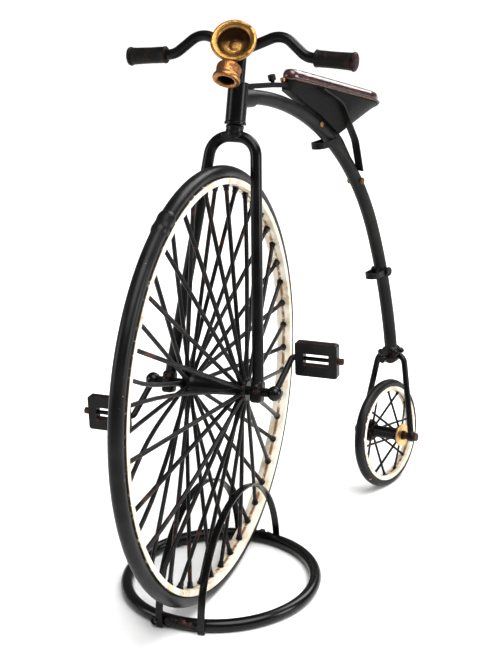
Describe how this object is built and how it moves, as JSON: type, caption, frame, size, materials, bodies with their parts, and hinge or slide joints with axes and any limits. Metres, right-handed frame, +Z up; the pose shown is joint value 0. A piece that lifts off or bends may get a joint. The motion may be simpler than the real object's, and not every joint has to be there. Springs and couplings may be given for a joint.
{
  "type": "high-wheel bicycle display model",
  "caption": "Desk-size high-wheel bicycle on a ring stand: large front wheel with cranks, curved backbone, small rear wheel, padded saddle, bent handlebar and brass lamp.",
  "frame": {"origin": "centre of the stand ring, on the floor, under the front wheel's axle", "axes": "+X forward along the front wheel, +Y to the rider's left, +Z up"},
  "size_m": [0.3908, 0.176, 0.3879],
  "materials": {
    "black_paint": "satin black paint over steel, brown wear at the edges",
    "stand_paint": "gloss black paint over steel rod and strip",
    "tyre_rubber": "smooth black tyre with a soft sheen",
    "cream_paint": "aged cream paint with brown lines and flakes",
    "brass": "antique brass with dark patina",
    "dark_steel": "dark steel, red-brown with age",
    "grip_rubber": "worn black rubber",
    "saddle_leather": "glossy brown-maroon leather"
  },
  "bodies": {
    "stand": {"stand_ring": "stand_paint", "stand_hoop_left": "stand_paint", "stand_hoop_right": "stand_paint"},
    "fork": {"fork_blades": "black_paint", "fork_crown": "black_paint", "steering_stem": "black_paint", "dropout_left": "black_paint", "dropout_right": "black_paint", "handlebar": "black_paint", "grip_left": "grip_rubber", "grip_right": "grip_rubber", "grip_cap_left": "grip_rubber", "grip_cap_right": "grip_rubber", "lamp_lug": "brass", "lamp_dish": "brass", "lamp_burner": "brass"},
    "front_wheel": {"front_tyre": "tyre_rubber", "tyre_sleeve": "black_paint", "front_rim": "cream_paint", "front_spokes_left": "black_paint", "front_spokes_right": "black_paint", "front_nipples_left": "black_paint", "front_nipples_right": "black_paint", "front_hub": "black_paint", "front_axle": "black_paint", "axle_ball_left": "black_paint", "axle_ball_right": "black_paint", "crank_left": "black_paint", "crank_right": "black_paint", "pedal_nut_left": "dark_steel", "pedal_nut_right": "dark_steel"},
    "pedal_left": {"pedal_left": "black_paint"},
    "pedal_right": {"pedal_right": "black_paint"},
    "rear_frame": {"head_tube": "black_paint", "lower_race": "black_paint", "head_lug": "black_paint", "backbone": "black_paint", "rear_crown": "black_paint", "crown_bolt": "dark_steel", "rear_fork": "black_paint", "rear_axle": "dark_steel", "saddle_bracket": "black_paint", "bracket_bolt": "dark_steel", "bracket_rivet": "dark_steel", "saddle_pan": "black_paint", "saddle_top": "saddle_leather", "saddle_stay_left": "black_paint", "saddle_stay_right": "black_paint", "stay_bolt": "brass", "upper_step": "black_paint", "lower_step": "black_paint", "step_rivet": "brass", "step_bolt": "dark_steel"},
    "rear_wheel": {"rear_tyre": "tyre_rubber", "rear_rim": "cream_paint", "rear_spokes": "black_paint", "rear_nipples": "black_paint", "rear_hub": "black_paint", "rear_flange_left": "brass", "rear_flange_right": "brass"}
  },
  "joints": [
    {"name": "lift_off", "type": "slide", "parent": "stand", "child": "fork", "axis": [0, 0, 1], "range_m": [0, 0.12]},
    {"name": "front_wheel_spin", "type": "hinge", "parent": "fork", "child": "front_wheel", "pos_m": [0, 0, 0.15], "axis": [0, 1, 0], "continuous": true},
    {"name": "pedal_left_spin", "type": "hinge", "parent": "front_wheel", "child": "pedal_left", "pos_m": [-0.02858, 0.0475, 0.1665], "axis": [0, 1, 0], "continuous": true},
    {"name": "pedal_right_spin", "type": "hinge", "parent": "front_wheel", "child": "pedal_right", "pos_m": [0.02858, -0.0475, 0.1335], "axis": [0, 1, 0], "continuous": true},
    {"name": "steering", "type": "hinge", "parent": "fork", "child": "rear_frame", "pos_m": [0, 0, 0.15], "axis": [-0.309, 0, 0.9511], "range_deg": [-19, 51]},
    {"name": "rear_wheel_spin", "type": "hinge", "parent": "rear_frame", "child": "rear_wheel", "pos_m": [-0.1985, 0.06357, 0.04356], "axis": [0.2621, 0.9613, 0.0852], "continuous": true}
  ]
}
